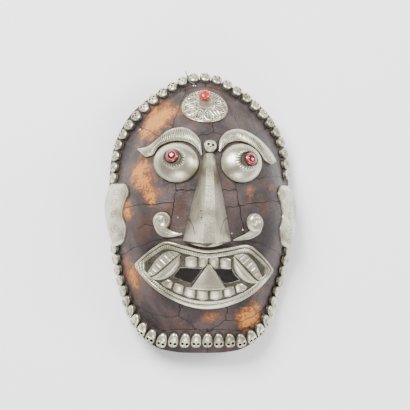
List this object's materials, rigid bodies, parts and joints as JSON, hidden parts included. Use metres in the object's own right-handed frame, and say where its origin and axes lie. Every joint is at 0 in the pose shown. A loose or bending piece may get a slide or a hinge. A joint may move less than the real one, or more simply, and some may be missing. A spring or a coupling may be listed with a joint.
{
  "type": "ceremonial dance mask",
  "caption": "Domed dance mask made from a tortoise shell, with fittings of beaten white metal: a rim of small skulls, bulging eyes, a long nose and a fanged mouth.",
  "frame": {"origin": "centre of the mask's box at the lower edge of the shell, the plane it lies on", "axes": "+X across the face to the viewer's right, +Y up the face towards the forehead, +Z out of the face; the mask lies face up"},
  "size_m": [0.1956, 0.2858, 0.1169],
  "materials": {
    "shell_horn": "dark worn tortoise shell with paler rubbed patches",
    "white_metal": "beaten white metal, satin, grey in the hollows",
    "red_glass": "clear red glass",
    "coral": "polished coral",
    "cotton": "grey-green cotton thread"
  },
  "bodies": {
    "root": {"shell": "shell_horn", "eye_left": "white_metal", "eye_right": "white_metal", "brow_left": "white_metal", "brow_right": "white_metal", "nose": "white_metal", "nose_skull": "white_metal", "moustache_left": "white_metal", "moustache_right": "white_metal", "ear_left": "white_metal", "ear_right": "white_metal", "mouth_plate": "white_metal", "tongue": "white_metal", "medallion": "white_metal", "upper_skull_01": "white_metal", "upper_skull_02": "white_metal", "upper_skull_03": "white_metal", "upper_skull_04": "white_metal", "upper_skull_05": "white_metal", "upper_skull_06": "white_metal", "upper_skull_07": "white_metal", "upper_skull_08": "white_metal", "upper_skull_09": "white_metal", "upper_skull_10": "white_metal", "upper_skull_11": "white_metal", "upper_skull_12": "white_metal", "upper_skull_13": "white_metal", "upper_skull_14": "white_metal", "upper_skull_15": "white_metal", "upper_skull_16": "white_metal", "upper_skull_17": "white_metal", "upper_skull_18": "white_metal", "upper_skull_19": "white_metal", "upper_skull_20": "white_metal", "upper_skull_21": "white_metal", "upper_skull_22": "white_metal", "upper_skull_23": "white_metal", "upper_skull_24": "white_metal", "upper_skull_25": "white_metal", "upper_skull_26": "white_metal", "lower_skull_pair_01": "white_metal", "lower_skull_pair_02": "white_metal", "lower_skull_pair_03": "white_metal", "lower_skull_pair_04": "white_metal", "lower_skull_pair_05": "white_metal", "lower_skull_pair_06": "white_metal", "lower_skull_pair_07": "white_metal", "lower_skull_pair_08": "white_metal", "lower_skull_pair_09": "white_metal", "lower_skull_pair_10": "white_metal", "lower_skull_pair_11": "white_metal", "lower_skull_pair_12": "white_metal", "lower_skull_pair_13": "white_metal", "lower_skull_pair_14": "white_metal", "eye_bead_left": "red_glass", "eye_bead_right": "red_glass", "coral_bead": "coral", "hanging_thread": "cotton"}
  },
  "joints": []
}
